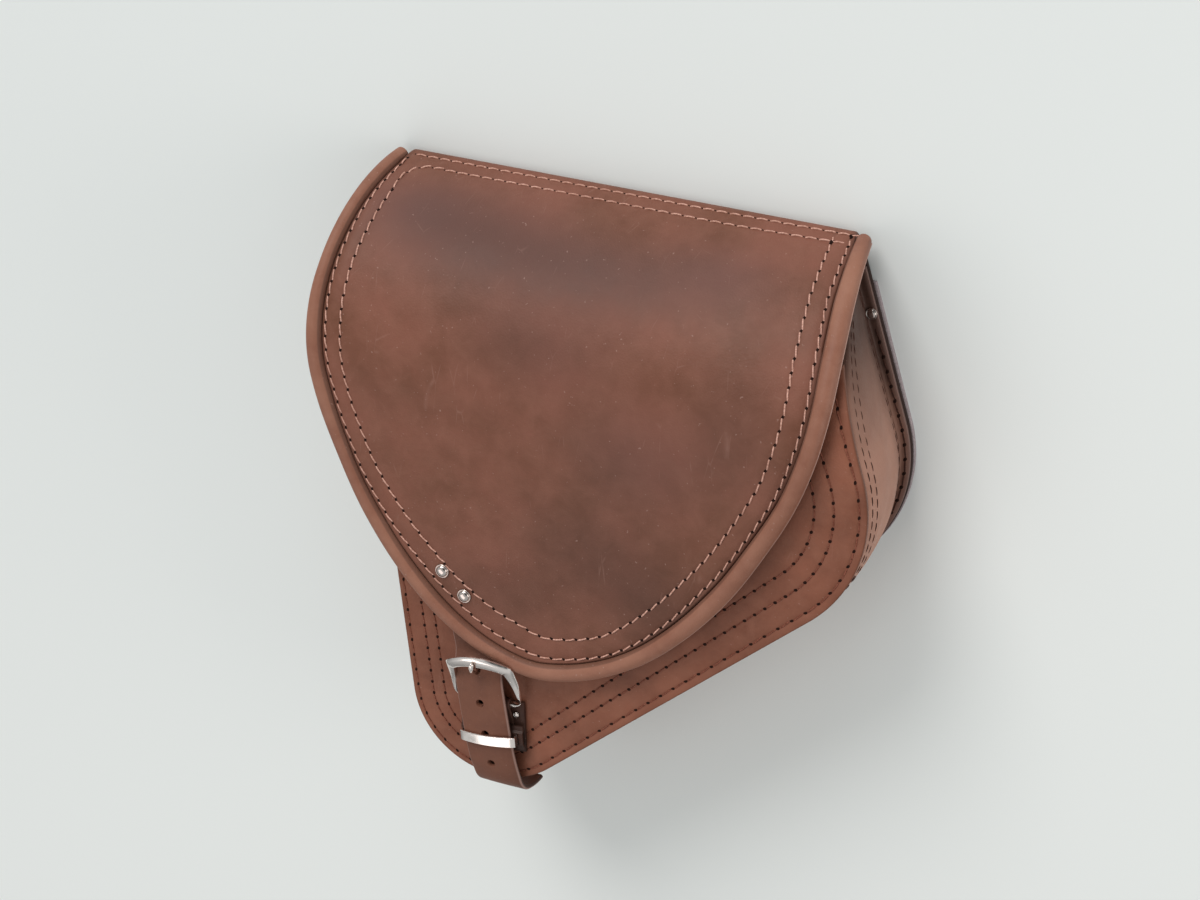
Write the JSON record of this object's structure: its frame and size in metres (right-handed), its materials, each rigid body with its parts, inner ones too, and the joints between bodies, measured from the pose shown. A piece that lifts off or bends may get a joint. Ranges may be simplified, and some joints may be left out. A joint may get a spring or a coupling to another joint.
{
  "type": "motorcycle saddlebag",
  "caption": "Single-side leather motorcycle saddlebag: a sewn pouch with a rounded fold-over lid, closed by a strap through a buckle and a keeper.",
  "frame": {"origin": "middle of the bag's underside box, with the bag lying on its back", "axes": "+X to the bag's right as seen from its front, +Y up the bag towards the lid's hinge edge, +Z out through the front, straight up as it lies"},
  "size_m": [0.3014, 0.3233, 0.1004],
  "materials": {
    "brown_leather": "waxed",
    "side_leather": "waxed",
    "dark_leather": "waxed",
    "raw_leather": "raw flesh side",
    "nickel": "polished nickel"
  },
  "bodies": {
    "root": {"back_reinforcement": "raw_leather", "back_panel": "dark_leather", "gusset": "side_leather", "front_panel": "brown_leather", "lid": "brown_leather", "lid_roll": "side_leather", "closing_strap": "brown_leather", "buckle_tab": "dark_leather", "keeper_tab": "dark_leather", "strap_keeper": "nickel", "buckle_prong": "nickel", "buckle_frame": "nickel", "tab_rivet_left": "nickel", "tab_rivet_right": "nickel", "lid_rivet_1": "nickel", "lid_rivet_2": "nickel", "gusset_rivet_left": "nickel", "gusset_rivet_right": "nickel"}
  },
  "joints": []
}
